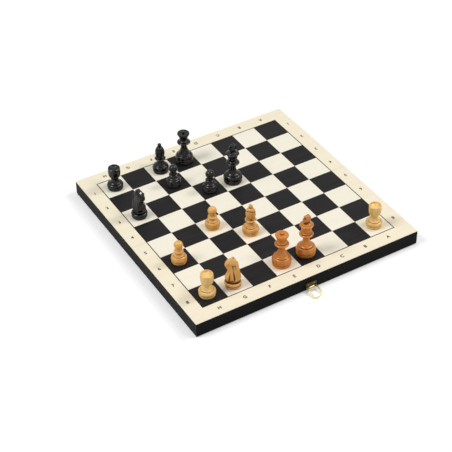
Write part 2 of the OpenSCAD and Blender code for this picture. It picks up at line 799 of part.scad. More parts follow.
// Cross with flared arms on a short neck, seen from the front, from the crown up
module cross_plan() {
    arm = cross_w / 2;
    waist = cross_w * 0.26;
    level = cross_h * 0.58;
    polygon([[-waist * 1.3, -waist / 2], [waist * 1.3, -waist / 2], [waist, level - waist],
             [arm, level - waist * 1.4], [arm, level + waist * 1.1], [waist, level + waist * 0.7],
             [waist * 1.35, cross_h], [-waist * 1.35, cross_h], [-waist, level + waist * 0.7],
             [-arm, level + waist * 1.1], [-arm, level - waist * 1.4], [-waist, level - waist]]);
}

// Saw cut in a bishop's mitre, from one side down into the wood
module mitre_slot() {
    r = bishop_mitre_d / 2;
    translate([0, 0, bishop_collar_z + 1.9 * r])
        rotate([0, -mitre_slope, mitre_turn])
            translate([0, -bishop_mitre_d, -mitre_cut / 2]) cube([3 * r, 2 * bishop_mitre_d, mitre_cut]);
}

// Levels of a knight's carved neck and head. Each row has the height as a share of the whole man's, and how
// far the horse reaches forwards, backwards and to each side there, as shares of the radius of the foot
knight_levels = [
    [0.20, 0.64, 0.66, 0.62], [0.23, 0.80, 0.82, 0.74], [0.29, 0.88, 0.89, 0.78], [0.36, 0.86, 0.89, 0.74],
    [0.43, 0.74, 0.87, 0.66], [0.50, 0.59, 0.83, 0.57], [0.56, 0.50, 0.79, 0.50], [0.605, 0.58, 0.75, 0.47],
    [0.645, 0.80, 0.72, 0.45], [0.69, 0.92, 0.68, 0.43], [0.74, 0.94, 0.63, 0.43], [0.79, 0.88, 0.58, 0.45],
    [0.85, 0.75, 0.51, 0.46], [0.90, 0.53, 0.44, 0.42], [0.94, 0.32, 0.38, 0.37], [1, 0.14, 0.18, 0.28]];

// Half the thickness of the horse at a level: the head has a size of its own
function knight_half(level) =
    let (head = knight_head_t / 2 / (0.45 * knight_foot_d / 2))
    level[3] * knight_foot_d / 2 * (level[0] < 0.55 ? 1 : head);

// Outline of the horse, up its front and down its back, from how far it reaches at each level
function knight_outline(front, back) = concat(
    [for (level = knight_levels) [front(level), level[0] * knight_h]],
    [for (i = [len(knight_levels) - 1:-1:0]) [-back(knight_levels[i]), knight_levels[i][0] * knight_h]]);

// Prism across the knight with the outline that is seen when the horse is turned by an angle
module knight_view(turn, outline) {
    rotate([90, 0, turn]) linear_extrude(3 * knight_foot_d, center = true) polygon(outline);
}

// Neck and head in the rough: a block cut to its outlines from the side, the front and the corners
module knight_blank() {
    r = knight_foot_d / 2;
    front = function(level) level[1] * r;
    back = function(level) level[2] * r;
    half = function(level) knight_half(level);
    front_corner = function(level) (level[1] * r + 0.42 * knight_half(level)) / sqrt(2);
    back_corner = function(level) (level[2] * r + 0.3 * knight_half(level)) / sqrt(2);
    intersection() {
        knight_view(0, knight_outline(front, back));
        knight_view(90, knight_outline(half, half));
        knight_view(45, knight_outline(front_corner, back_corner));
        knight_view(-45, knight_outline(front_corner, back_corner));
    }
}

// Recess on one side of the neck, behind the cheek and under the ear, that leaves a thin mane standing
module mane_recess(s) {
    r = knight_foot_d / 2;
    mane = knight_mane_t / 2;
    translate([0, 0, 0.8 * knight_h]) rotate([s * 9, -8, 0])
        translate([0, 0, -0.62 * knight_h]) linear_extrude(0.62 * knight_h)
            polygon([[0, s * 2 * r], [-0.02 * r, s * 1.7 * mane], [-0.14 * r, s * 1.2 * mane],
                     [-0.5 * r, s * 0.9 * mane], [-0.9 * r, s * mane], [-1.4 * r, s * 1.3 * mane],
                     [-1.4 * r, s * 2 * r]]);
}

// Cuts that carve the horse: the manes' recesses, the mouth, the nostrils, the eyes and the ears
module knight_cuts() {
    r = knight_foot_d / 2;
    head = knight_head_t / 2;
    fine = 0.06 * r;
    for (s = [-1, 1]) {
        mane_recess(s);
        translate([0.84 * r, s * head * 0.66, 0.725 * knight_h]) sphere(r = fine, $fn = 16);
        translate([0.46 * r, s * head, 0.82 * knight_h]) sphere(r = 2 * fine, $fn = 16);
    }
    translate([0.96 * r, 0, 0.69 * knight_h]) rotate([90, 30, 0])
        cube([4 * fine, 0.6 * fine, 2 * r], center = true);
    translate([0, 0, 1.01 * knight_h]) rotate([0, 84, 0]) cylinder(h = 3 * r, r = 3 * fine, center = true);
}

module pawn() {
    turned(pawn_foot_d, pawn_points());
}

module rook() {
    turned(rook_foot_d, rook_points());
}

module knight() {
    r = knight_foot_d / 2;
    body_z = knight_levels[0][0] * knight_h;
    turned(knight_foot_d, concat(
        foot(r, knight_foot_h, r * 0.74),
        [[r * 0.58, knight_foot_h + glue_t], [r * 0.58, body_z + glue_t], [0, body_z + glue_t]]));
    difference() {
        knight_blank();
        knight_cuts();
    }
}

module bishop() {
    difference() {
        turned(bishop_foot_d, bishop_points());
        mitre_slot();
    }
}

module queen() {
    turned(queen_foot_d, queen_points());
}

module king() {
    turned(king_foot_d, king_points());
    translate([0, 0, king_h - cross_h]) rotate([90, 0, cross_turn + 90])
        linear_extrude(cross_t, center = true) cross_plan();
}

// Stands a man on the board
module stand(at, wood, turn = 0) {
    color(wood)
        translate([(at[0] - 3.5) * square + at[2], fold_y + (at[1] - 3.5) * square + at[3], board_z])
            rotate(turn) children();
}

white = "#d9984f";
black = "#221d1b";

// ---- The pieces ----

outer_rail(FRONT, clasp_nail_x, clasp_nail_z);  // front_clasp_rail
hinge_rail(FRONT);  // front_hinge_rail
side_rail(FRONT, -1);  // front_left_rail
side_rail(FRONT, 1);  // front_right_rail
panel(FRONT);  // front_panel
border_veneer(FRONT);  // front_border
light_squares(FRONT);  // front_light_squares
dark_squares(FRONT);  // front_dark_squares
stringing(FRONT);  // front_stringing
field_veneer(FRONT);  // front_field
dark_points(FRONT);  // front_dark_points
tan_points(FRONT);  // front_tan_points
brown_points(FRONT);  // front_brown_points
outer_rail(BACK, catch_nail_x, catch_nail_z);  // back_catch_rail
hinge_rail(BACK);  // back_hinge_rail
side_rail(BACK, -1);  // back_left_rail
side_rail(BACK, 1);  // back_right_rail
panel(BACK);  // back_panel
border_veneer(BACK);  // back_border
light_squares(BACK);  // back_light_squares
dark_squares(BACK);  // back_dark_squares
stringing(BACK);  // back_stringing
field_veneer(BACK);  // back_field
dark_points(BACK);  // back_dark_points
tan_points(BACK);  // back_tan_points
brown_points(BACK);  // back_brown_points
hinge_leaves(FRONT);  // front_hinge_leaves
hinge_leaves(BACK);  // back_hinge_leaves
hinge_pins();
hinge_screws(FRONT);  // front_hinge_screws
hinge_screws(BACK);  // back_hinge_screws
clasp_plate();
hasp();
clasp_pin();
clasp_nails();
catch_plate();
catch_nails();
pale_stones();
maroon_stones();
dice();
stand(white_king_at, white) king();  // white_king
stand(white_queen_at, white) queen();  // white_queen
stand(white_bishop_at, white) bishop();  // white_bishop
stand(white_knight_at, white, white_knight_turn) knight();  // white_knight
stand(white_rook_1_at, white) rook();  // white_rook_1
stand(white_rook_2_at, white) rook();  // white_rook_2
stand(white_pawn_1_at, white) pawn();  // white_pawn_1
stand(white_pawn_2_at, white) pawn();  // white_pawn_2
stand(black_king_at, black) king();  // black_king
stand(black_queen_at, black) queen();  // black_queen
stand(black_bishop_at, black) bishop();  // black_bishop
stand(black_knight_at, black, black_knight_turn) knight();  // black_knight
stand(black_rook_at, black) rook();  // black_rook
stand(black_pawn_1_at, black) pawn();  // black_pawn_1
stand(black_pawn_2_at, black) pawn();  // black_pawn_2
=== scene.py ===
import bpy
import math
from mathutils import Matrix, Vector
from mathutils.bvhtree import BVHTree


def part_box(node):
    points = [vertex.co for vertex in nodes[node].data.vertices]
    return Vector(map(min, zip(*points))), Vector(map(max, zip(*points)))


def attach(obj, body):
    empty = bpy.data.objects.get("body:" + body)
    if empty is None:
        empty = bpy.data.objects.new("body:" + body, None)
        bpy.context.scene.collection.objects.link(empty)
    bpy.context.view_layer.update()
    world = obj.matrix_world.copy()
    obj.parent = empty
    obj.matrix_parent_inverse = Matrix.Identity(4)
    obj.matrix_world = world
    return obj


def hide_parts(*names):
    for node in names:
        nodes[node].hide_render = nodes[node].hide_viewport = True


# Folding games compendium, laid open as a chess board with the men of a game on it.
# The pieces' settings are in millimetres, and mm turns them into Blender's metres.
# The finishes', the camera's and the studio's are in metres, and angles are in degrees.
mm = 0.001

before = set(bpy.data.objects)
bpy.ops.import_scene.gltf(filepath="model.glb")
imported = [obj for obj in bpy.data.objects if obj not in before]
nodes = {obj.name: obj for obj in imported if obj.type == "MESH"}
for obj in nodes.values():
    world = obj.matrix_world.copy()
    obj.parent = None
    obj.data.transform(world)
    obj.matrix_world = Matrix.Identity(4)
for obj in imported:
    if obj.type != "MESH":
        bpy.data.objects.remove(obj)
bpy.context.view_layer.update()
print("frame loaded:", len(nodes), "nodes")

# The board's own measures, read off the frame
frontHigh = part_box("front_border")[1]
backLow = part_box("back_border")[0]
boardTop = frontHigh.z
foldY = (frontHigh.y + backLow.y) / 2
boardHalf = frontHigh.x
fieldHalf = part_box("front_stringing")[1].x


def clearSelection():
    if bpy.context.object and bpy.context.object.mode == "EDIT":
        bpy.ops.object.mode_set(mode="OBJECT")
    bpy.ops.object.select_all(action="DESELECT")


def pickOnly(piece):
    clearSelection()
    bpy.context.view_layer.objects.active = piece
    piece.select_set(True)


def startEdit():
    bpy.ops.object.mode_set(mode="EDIT")
    bpy.ops.mesh.select_all(action="SELECT")


def endEdit():
    bpy.ops.object.mode_set(mode="OBJECT")
    return bpy.context.object


def finishPiece(piece, name, finishes, body, stoodFor=()):
    # names the piece, gives it its finishes and hangs it on its body
    piece.name = name
    piece.data.name = name
    piece.data.materials.clear()
    for finish in finishes:
        piece.data.materials.append(finish)
    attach(piece, body)
    for node in stoodFor:
        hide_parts(node)


def tint(red, green, blue):
    # a colour as it is seen, 0 to 255, turned into the shader's own scale
    def one(value):
        share = value / 255
        return share / 12.92 if share <= 0.04045 else ((share + 0.055) / 1.055) ** 2.4
    return (one(red), one(green), one(blue), 1.0)


def newFinish(name, roughness, metallic=0.0, specular=0.5, coat=0.0, coatRoughness=0.1, sheen=0.0):
    finish = bpy.data.materials.new(name)
    finish.use_nodes = True
    shader = finish.node_tree.nodes["Principled BSDF"]
    shader.inputs["Roughness"].default_value = roughness
    shader.inputs["Metallic"].default_value = metallic
    shader.inputs["Specular IOR Level"].default_value = specular
    shader.inputs["Coat Weight"].default_value = coat
    shader.inputs["Coat Roughness"].default_value = coatRoughness
    shader.inputs["Sheen Weight"].default_value = sheen
    return finish


def addNode(finish, kind, **values):
    node = finish.node_tree.nodes.new(kind)
    for key, value in values.items():
        if key in node.inputs:
            node.inputs[key].default_value = value
        else:
            setattr(node, key, value)
    return node


def wire(finish, source, out, target, into):
    finish.node_tree.links.new(source.outputs[out], target.inputs[into])


def onObject(finish, stretch):
    # Object coordinates, stretched so that a pattern runs long along the grain
    place = addNode(finish, "ShaderNodeTexCoord")
    spread = addNode(finish, "ShaderNodeMapping")
    spread.inputs["Scale"].default_value = stretch
    wire(finish, place, "Object", spread, "Vector")
    return spread


def addNoise(finish, stretch, scale, detail=4.0, roughness=0.5, distortion=0.0):
    noise = addNode(finish, "ShaderNodeTexNoise")
    noise.inputs["Scale"].default_value = scale
    noise.inputs["Detail"].default_value = detail
    noise.inputs["Roughness"].default_value = roughness
    noise.inputs["Distortion"].default_value = distortion
    wire(finish, onObject(finish, stretch), "Vector", noise, "Vector")
    return noise


def addRamp(finish, source, out, stops):
    ramp = addNode(finish, "ShaderNodeValToRGB")
    marks = ramp.color_ramp.elements
    while len(marks) < len(stops):
        marks.new(0.5)
    for mark, (place, colour) in zip(marks, stops):
        mark.position = place
        mark.color = colour
    wire(finish, source, out, ramp, "Fac")
    return ramp


def addBump(finish, source, out, height):
    bump = addNode(finish, "ShaderNodeBump")
    bump.inputs["Distance"].default_value = height
    bump.inputs["Strength"].default_value = 1.0
    wire(finish, source, out, bump, "Height")
    wire(finish, bump, "Normal", finish.node_tree.nodes["Principled BSDF"], "Normal")


def mixColours(finish, first, second, share):
    # each of first and second is a (node, output) pair
    mix = addNode(finish, "ShaderNodeMix", data_type="RGBA")
    mix.inputs["Factor"].default_value = share
    finish.node_tree.links.new(first[0].outputs[first[1]], mix.inputs["A"])
    finish.node_tree.links.new(second[0].outputs[second[1]], mix.inputs["B"])
    return mix


woodFigure = {"fibres": 900, "clouds": 90, "fibreShare": 0.35}


def woodFinish(name, pale, middle, deep, grain, bump=0.00002, **gloss):
    # long fibres over a slower figure, both running along the grain
    finish = newFinish(name, **gloss)
    fibres = addNoise(finish, grain, woodFigure["fibres"], 6, 0.6)
    clouds = addNoise(finish, grain, woodFigure["clouds"], 3, 0.5, 0.6)
    streaks = addRamp(finish, clouds, "Fac", [(0.3, deep), (0.52, middle), (0.72, pale)])
    lines = addRamp(finish, fibres, "Fac", [(0.35, middle), (0.65, pale)])
    both = mixColours(finish, (streaks, "Color"), (lines, "Color"), woodFigure["fibreShare"])
    wire(finish, both, "Result", finish.node_tree.nodes["Principled BSDF"], "Base Color")
    addBump(finish, fibres, "Fac", bump)
    return finish


# where painted crease shade starts and where it is at full strength
creaseShading = {"starts": 0.1, "full": 0.46}


def stainCreases(finish, creaseShade):
    # painted shade: darkens a wood's colour towards a shade colour where its mesh says that it lies in a
    # groove or under a ring, where shade falls
    shader = finish.node_tree.nodes["Principled BSDF"]
    wood = shader.inputs["Base Color"].links[0].from_node
    depth = addNode(finish, "ShaderNodeAttribute", attribute_name="crease")
    share = addNode(finish, "ShaderNodeMapRange")
    share.inputs["From Min"].default_value = creaseShading["starts"]
    share.inputs["From Max"].default_value = creaseShading["full"]
    wire(finish, depth, "Fac", share, "Value")
    mix = addNode(finish, "ShaderNodeMix", data_type="RGBA")
    mix.inputs["B"].default_value = creaseShade
    wire(finish, share, "Result", mix, "Factor")
    finish.node_tree.links.new(wood.outputs["Result"], mix.inputs["A"])
    finish.node_tree.links.new(mix.outputs["Result"], shader.inputs["Base Color"])
    return finish


alongX = (0.06, 1.0, 1.0)
alongY = (1.0, 0.06, 1.0)
alongZ = (1.0, 1.0, 0.08)

creamVeneer = woodFinish(
    "cream veneer", tint(254, 246, 222), tint(253, 243, 217), tint(250, 239, 211), alongX,
    roughness=0.45, specular=0.15)
creamSquares = woodFinish(
    "cream squares", tint(254, 249, 232), tint(253, 247, 229), tint(250, 243, 222), alongX,
    roughness=0.45, specular=0.15)
blackVeneer = woodFinish(
    "black veneer", tint(42, 40, 40), tint(36, 34, 34), tint(29, 27, 28), alongX,
    roughness=0.45, specular=0.1)
blackLine = woodFinish(
    "black line", tint(30, 27, 24), tint(22, 19, 17), tint(16, 14, 12), alongX,
    roughness=0.5, specular=0.1)
insideVeneer = woodFinish(
    "inside veneer", tint(254, 238, 214), tint(251, 234, 208), tint(244, 222, 190), alongY,
    roughness=0.45, specular=0.15)
darkPoint = woodFinish(
    "dark point", tint(66, 70, 66), tint(58, 62, 58), tint(46, 50, 48), alongX,
    roughness=0.45, specular=0.15)
tanPoint = woodFinish(
    "tan point", tint(226, 150, 84), tint(210, 128, 64), tint(186, 102, 46), alongX,
    roughness=0.42, specular=0.2)
brownPoint = woodFinish(
    "brown point", tint(166, 84, 46), tint(142, 64, 32), tint(112, 46, 24), alongX,
    roughness=0.42, specular=0.2)
blackLacquerX = woodFinish(
    "black lacquer", tint(17, 15, 14), tint(12, 10, 10), tint(8, 7, 7), alongX,
    roughness=0.5, specular=0.06)
blackLacquerY = woodFinish(
    "black lacquer, sides", tint(17, 15, 14), tint(12, 10, 10), tint(8, 7, 7), alongY,
    roughness=0.5, specular=0.06)
# the last colour given for each of these three woods is painted shade, which their creases are darkened
# towards
brownWood = stainCreases(woodFinish(
    "honey brown wood", tint(236, 156, 64), tint(218, 132, 42), tint(180, 96, 18), alongZ, bump=0.000004,
    roughness=0.2, specular=0.5), tint(76, 30, 2))
honeyWood = stainCreases(woodFinish(
    "honey wood", tint(250, 196, 114), tint(243, 180, 90), tint(218, 146, 54), alongZ, bump=0.000004,
    roughness=0.2, specular=0.5), tint(112, 52, 6))
paleWood = stainCreases(woodFinish(
    "pale wood", tint(253, 218, 148), tint(249, 204, 122), tint(230, 176, 86), alongZ, bump=0.000004,
    roughness=0.2, specular=0.5), tint(128, 70, 14))
blackWood = woodFinish(
    "black stained wood", tint(16, 13, 12), tint(10, 8, 7), tint(6, 5, 4), alongZ, bump=0.000002,
    roughness=0.14, specular=0.4)
paleStone = woodFinish(
    "pale stone", tint(242, 212, 186), tint(232, 196, 168), tint(214, 172, 142), alongX,
    roughness=0.38, specular=0.3, coat=0.2, coatRoughness=0.2)
maroonStone = woodFinish(
    "maroon stone", tint(112, 50, 60), tint(92, 36, 46), tint(66, 24, 32), alongX,
    roughness=0.32, specular=0.3, coat=0.3, coatRoughness=0.15)


def metalFinish(name, bright, dull, roughness):
    finish = newFinish(name, roughness, metallic=1.0)
    clouds = addNoise(finish, (1.0, 1.0, 1.0), 240, 4, 0.6)
    tone = addRamp(finish, clouds, "Fac", [(0.3, dull), (0.7, bright)])
    wire(finish, tone, "Color", finish.node_tree.nodes["Principled BSDF"], "Base Color")
    scratches = addNoise(finish, (1.0, 0.1, 1.0), 2600, 3, 0.6)
    addBump(finish, scratches, "Fac", 0.000006)
    return finish


brass = metalFinish("brass", tint(196, 172, 112), tint(158, 134, 80), 0.3)
# painted shade: a darker copy of the brass for the clasp plate, standing in for the shade that falls on it
shadedBrass = metalFinish("brass in painted shade", tint(96, 86, 58), tint(70, 62, 40), 0.35)
paleBrass = metalFinish("pale brass", tint(226, 214, 176), tint(204, 190, 146), 0.3)
steel = metalFinish("steel", tint(196, 190, 178), tint(160, 154, 144), 0.3)


def plainFinish(name, light, dark, scale, bump, **gloss):
    finish = newFinish(name, **gloss)
    clouds = addNoise(finish, (1.0, 1.0, 1.0), scale, 4, 0.6)
    tone = addRamp(finish, clouds, "Fac", [(0.35, dark), (0.65, light)])
    wire(finish, tone, "Color", finish.node_tree.nodes["Principled BSDF"], "Base Color")
    addBump(finish, clouds, "Fac", bump)
    return finish


felt = plainFinish(
    "green felt", tint(52, 92, 64), tint(30, 62, 42), 2600, 0.0002,
    roughness=0.95, specular=0.1, sheen=0.4)
printInk = plainFinish(
    "print ink", tint(30, 27, 24), tint(20, 18, 16), 1500, 0.00001, roughness=0.6, specular=0.1)
diePlastic = plainFinish(
    "black die plastic", tint(34, 34, 36), tint(26, 26, 28), 500, 0.00001, roughness=0.2)
pipPaint = plainFinish(
    "white pip paint", tint(246, 246, 244), tint(236, 236, 232), 900, 0.00001, roughness=0.4)
print("finishes made")


def giveFinish(node, finish):
    nodes[node].data.materials.clear()
    nodes[node].data.materials.append(finish)


# the frame's own nodes; the hasp is shown as a piece made anew and the dice as copies, both further down
for tray in ("front_", "back_"):
    nodeFinishes = {
        "border": creamVeneer, "light_squares": creamSquares, "dark_squares": blackVeneer,
        "stringing": blackLine, "field": insideVeneer, "dark_points": darkPoint,
        "tan_points": tanPoint, "brown_points": brownPoint, "panel": blackLacquerX,
        "hinge_rail": blackLacquerX, "left_rail": blackLacquerY, "right_rail": blackLacquerY,
        "hinge_leaves": brass, "hinge_screws": brass}
    for part, finish in nodeFinishes.items():
        giveFinish(tray + part, finish)
for part, finish in {
        "front_clasp_rail": blackLacquerX, "back_catch_rail": blackLacquerX, "hinge_pins": steel,
        "clasp_plate": shadedBrass, "clasp_pin": steel, "clasp_nails": brass, "catch_plate": brass,
        "catch_nails": brass, "hasp": paleBrass, "pale_stones": paleStone, "maroon_stones": maroonStone,
        "dice": diePlastic}.items():
    giveFinish(part, finish)
print("nodes finished")


def quarter(fromR, fromZ, toR, toZ, startsUpright, steps=7):
    # quarter of an ellipse between two points of a profile
    points = []
    for step in range(1, steps + 1):
        angle = math.radians(90 * step / steps)
        if startsUpright:
            points.append((toR + (fromR - toR) * math.cos(angle), fromZ + (toZ - fromZ) * math.sin(angle)))
        else:
            points.append((fromR + (toR - fromR) * math.sin(angle), toZ - (toZ - fromZ) * math.cos(angle)))
    return points


def swell(fromR, fromZ, toR, toZ, out, steps=8):
    # a rounded ring that stands out of the line between two points, or a groove where out is below 0
    points = []
    for step in range(1, steps + 1):
        share = step / steps
        bulge = out * math.sin(math.pi * share)
        points.append((fromR + (toR - fromR) * share + bulge, fromZ + (toZ - fromZ) * share))
    return points


def ballArc(fromR, ballR, ballZ, steps=14):
    # a ball on the axis, from the neck under it to its top
    first = -math.acos(fromR / ballR)
    points = []
    for step in range(1, steps + 1):
        angle = first + (math.pi / 2 - first) * step / steps
        points.append((max(ballR * math.cos(angle), 0.0), ballZ + ballR * math.sin(angle)))
    return points


def traceProfile(moves):
    # line goes straight to a radius and a height, round starts upright and flare starts level,
    # swell bulges on its way there, and ball has its own radius and the height of its middle
    points = [(0.0, 0.0)]
    for move in moves:
        kind, r, z = move[:3]
        fromR, fromZ = points[-1]
        if kind == "line":
            points.append((r, z))
        elif kind == "round":
            points += quarter(fromR, fromZ, r, z, True)
        elif kind == "flare":
            points += quarter(fromR, fromZ, r, z, False)
        elif kind == "swell":
            points += swell(fromR, fromZ, r, z, move[3])
        elif kind == "ball":
            points += ballArc(fromR, r, z)
    return points


def turnFoot(r, h, ledge):
    # felt, ring, groove and round shoulder, up to the ledge that the stem rises from
    m = r / 12
    groove = 4.4 * m
    return [("line", r - 1.0, 0.0), ("line", r - 1.0, 0.8), ("line", r - 0.9 * m, 0.85),
            ("swell", r - 0.9 * m, groove - 0.6 * m, 0.6 * m), ("line", r - 1.5 * m, groove),
            ("line", r - 1.2 * m, groove + 0.1 * m), ("flare", r, groove + 1.6 * m),
            ("line", r, groove + 1.8 * m), ("round", ledge, h)]


def turnStem(m, h, ledge, stemR, z, hollow):
    return [("line", ledge - 0.2 * m, h + 0.1 * m), ("swell", ledge - 0.6 * m, h + 1.5 * m, 0.6 * m),
            ("line", ledge - 0.9 * m, h + 1.6 * m), ("swell", stemR, z, -hollow * m)]


def turnCollar(m, stemR, r, z):
    # cone, broad ring and the smaller ring on top of it
    return [("line", stemR, z - 4.4 * m), ("line", r - 2.6 * m, z - 1.9 * m),
            ("line", r - 1.2 * m, z - 1.4 * m), ("swell", r - 1.2 * m, z + 1.2 * m, 1.2 * m),
            ("line", r - 2.8 * m, z + 1.4 * m), ("line", r - 3.0 * m, z + 1.6 * m),
            ("swell", r - 3.2 * m, z + 2.8 * m, 0.5 * m)]


turnedMen = {
    "pawn": turnFoot(11.5, 12.2, 7.82) + turnStem(0.958, 12.2, 7.82, 4.5, 17.6, 0.4) + [
        ("line", 4.5, 17.7), ("swell", 4.5, 21.1, 2.5), ("line", 4.12, 24.6), ("ball", 6.7, 29.9)],
    "rook": turnFoot(12.4, 10.4, 8.93) + turnStem(1.033, 10.4, 8.93, 5.1, 17.8, 0.6) + [
        ("line", 5.1, 18.0), ("swell", 9.0, 25.0, 0.5), ("line", 9.0, 25.2), ("swell", 9.0, 37.1, 0.4),
        ("line", 8.4, 37.6), ("line", 7.2, 37.6), ("round", 0.0, 34.0)],
    "bishop": turnFoot(12.5, 12.4, 8.88) + turnStem(1.042, 12.4, 8.88, 4.1, 21.0, 0.5) + [
        ("line", 5.14, 22.3), ("swell", 5.14, 25.9, 3.4), ("line", 5.25, 26.1), ("swell", 5.04, 27.4, 0.7),
        ("line", 4.62, 27.8), ("line", 4.93, 28.4), ("flare", 7.4, 34.3), ("line", 7.4, 34.4),
        ("round", 1.86, 45.5), ("ball", 3.1, 48.3)],
    "queen": turnFoot(14.1, 15.0, 10.43) + turnStem(1.175, 15.0, 10.43, 4.6, 28.2, 0.5)
        + turnCollar(1.175, 4.6, 10.4, 37.0) + [
        ("line", 6.25, 40.8), ("line", 5.54, 42.2), ("swell", 8.9, 50.4, -0.1), ("line", 9.0, 50.6),
        ("swell", 9.0, 53.6, 0.6), ("line", 8.0, 54.0), ("swell", 2.3, 53.6, -0.2), ("ball", 2.3, 54.7)],
    "king": turnFoot(14.5, 14.4, 10.15) + turnStem(1.208, 14.4, 10.15, 4.8, 25.4, 1.1)
        + turnCollar(1.208, 4.8, 10.4, 35.2) + [
        ("line", 6.25, 39.2), ("line", 6.25, 39.8), ("swell", 7.26, 45.8, 0.4), ("line", 7.38, 46.0),
        ("swell", 9.7, 50.6, -0.5), ("line", 9.8, 50.9), ("swell", 9.8, 52.2, 0.4), ("line", 8.6, 52.6),
        ("line", 7.6, 52.9), ("round", 0.0, 55.8)],
}


turning = {"steps": 64, "smooth": 32}


def smoothUnder(degrees):
    bpy.ops.object.shade_smooth_by_angle(angle=math.radians(degrees))


def turnMan(kind):
    # the profile is drawn point by point from one vertex and spun round the axis
    clearSelection()
    bpy.ops.mesh.primitive_plane_add(size=mm, location=(0, 0, 0))
    startEdit()
    bpy.ops.mesh.merge(type="CENTER")
    here = Vector((0, 0, 0))
    for r, z in traceProfile(turnedMen[kind])[1:]:
        there = Vector((r * mm, 0, z * mm))
        bpy.ops.mesh.extrude_region_move(TRANSFORM_OT_translate={"value": there - here})
        here = there
    bpy.ops.mesh.select_all(action="SELECT")
    bpy.ops.mesh.spin(steps=turning["steps"], angle=math.tau, center=(0, 0, 0), axis=(0, 0, 1))
    bpy.ops.mesh.select_all(action="SELECT")
    bpy.ops.mesh.remove_doubles(threshold=0.002 * mm)
    bpy.ops.mesh.normals_make_consistent(inside=False)
    man = endEdit()
    smoothUnder(turning["smooth"])
    return man


creases = {"reach": 10.0, "start": 0.06, "rays": 40, "lowest": 0.12}


def markCreases(piece, weight=1.0):
    # how much of what a point faces is the piece itself, close by: 0 in the open, near 1 deep in a groove;
    # the woods darken their colour by it as painted shade
    mesh = piece.data
    skin = BVHTree.FromPolygons(
        [point.co for point in mesh.vertices], [face.vertices for face in mesh.polygons])
    ways = []
    for number in range(creases["rays"]):
        up = 1 - (2 * number + 1) / creases["rays"]
        flat = math.sqrt(1 - up * up)
        angle = number * math.pi * (3 - math.sqrt(5))
        ways.append(Vector((flat * math.cos(angle), flat * math.sin(angle), up)))
    depth = []
    reach = creases["reach"] * mm
    for point in mesh.vertices:
        total, met = 0.0, 0.0
        start = point.co + point.normal * creases["start"] * mm
        for way in ways:
            facing = way.dot(point.normal)
            if facing < creases["lowest"]:
                continue
            total += facing
            distance = skin.ray_cast(start, way, reach)[3]
            if distance is not None:
                met += facing * (1 - distance / reach)
        depth.append(weight * met / total)
    mesh.attributes.new("crease", "FLOAT", "POINT").data.foreach_set("value", depth)
    return piece


def drawOutline(points, depth, along):
    # a flat outline drawn point by point, filled and made thick along Y or Z, half to each side
    clearSelection()
    bpy.ops.mesh.primitive_plane_add(size=mm, location=(0, 0, 0))
    startEdit()
    bpy.ops.mesh.merge(type="CENTER")
    upright = along == "Y"
    push = Vector((0, depth, 0)) if upright else Vector((0, 0, depth))
    here = Vector((0, 0, 0))
    for number, (u, v) in enumerate(points):
        there = (Vector((u, -depth / 2, v)) if upright else Vector((u, v, -depth / 2))) * mm
        if number == 0:
            bpy.ops.transform.translate(value=there)
        else:
            bpy.ops.mesh.extrude_region_move(TRANSFORM_OT_translate={"value": there - here})
        here = there
    bpy.ops.mesh.select_all(action="SELECT")
    bpy.ops.mesh.edge_face_add()
    bpy.ops.mesh.extrude_region_move(TRANSFORM_OT_translate={"value": push * mm})
    bpy.ops.mesh.select_all(action="SELECT")
    bpy.ops.mesh.normals_make_consistent(inside=False)
    return endEdit()


def useModifier(piece, kind, name, **values):
    modifier = piece.modifiers.new(name, kind)
    for key, value in values.items():
        setattr(modifier, key, value)
    pickOnly(piece)
    bpy.ops.object.modifier_apply(modifier=name)


def cutAway(piece, cutter):
    useModifier(piece, "BOOLEAN", "cut", operation="DIFFERENCE", object=cutter, solver="EXACT")
    bpy.data.objects.remove(cutter)


def joinPieces(pieces):
    clearSelection()
    for piece in pieces:
        piece.select_set(True)
    bpy.context.view_layer.objects.active = pieces[0]
    bpy.ops.object.join()
    return bpy.context.object


kingCross = {
    "half": [(4.3, -1.4), (3.1, 4.4), (5.9, 3.2), (5.9, 9.6), (3.3, 8.6), (4.7, 12.4)],
    "thickness": 5.0, "foot": 55.0, "turn": 10, "round": 0.5}


def makeCross():
    half = kingCross["half"]
    cross = drawOutline(half + [(-u, v) for u, v in reversed(half)], kingCross["thickness"], "Y")
    useModifier(cross, "BEVEL", "soften", width=kingCross["round"] * mm, segments=3, limit_method="ANGLE")
    turn = Matrix.Rotation(math.radians(kingCross["turn"]), 4, "Z")
    cross.data.transform(Matrix.Translation((0, 0, kingCross["foot"] * mm)) @ turn)
    return cross


def makeKing():
    body = turnMan("king")
    cross = makeCross()
    king = joinPieces([body, cross])
    smoothUnder(turning["smooth"])
    return king


mitreCut = {"width": 1.3, "height": 38.4, "tilt": -32, "turn": -132, "length": 20.0, "across": 40.0}


def makeBishop():
    bishop = turnMan("bishop")
    clearSelection()
    bpy.ops.mesh.primitive_cube_add(size=1, location=(0, 0, 0))
    startEdit()
    sides = (mitreCut["length"], mitreCut["across"], mitreCut["width"])
    bpy.ops.transform.resize(value=[side * mm for side in sides])
    bpy.ops.transform.translate(value=(mitreCut["length"] / 2 * mm, 0, 0))
    cutter = endEdit()
    tilt = Matrix.Rotation(math.radians(mitreCut["tilt"]), 4, "Y")
    turn = Matrix.Rotation(math.radians(mitreCut["turn"]), 4, "Z")
    cutter.data.transform(Matrix.Translation((0, 0, mitreCut["height"] * mm)) @ turn @ tilt)
    cutAway(bishop, cutter)
    smoothUnder(turning["smooth"])
    return bishop


def standOf(node):
    # the move from the origin to the middle of where the frame has a man, at its foot
    low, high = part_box(node)
    return Matrix.Translation(((low.x + high.x) / 2, (low.y + high.y) / 2, low.z))


def standMan(pattern, node, wood):
    # a copy with its own mesh, in the man's place; it is wood all over, its felt too
    man = bpy.data.objects.new(node + "_turned", pattern.data.copy())
    bpy.context.scene.collection.objects.link(man)
    man.data.transform(standOf(node))
    finishPiece(man, node + "_turned", [wood], node, [node])


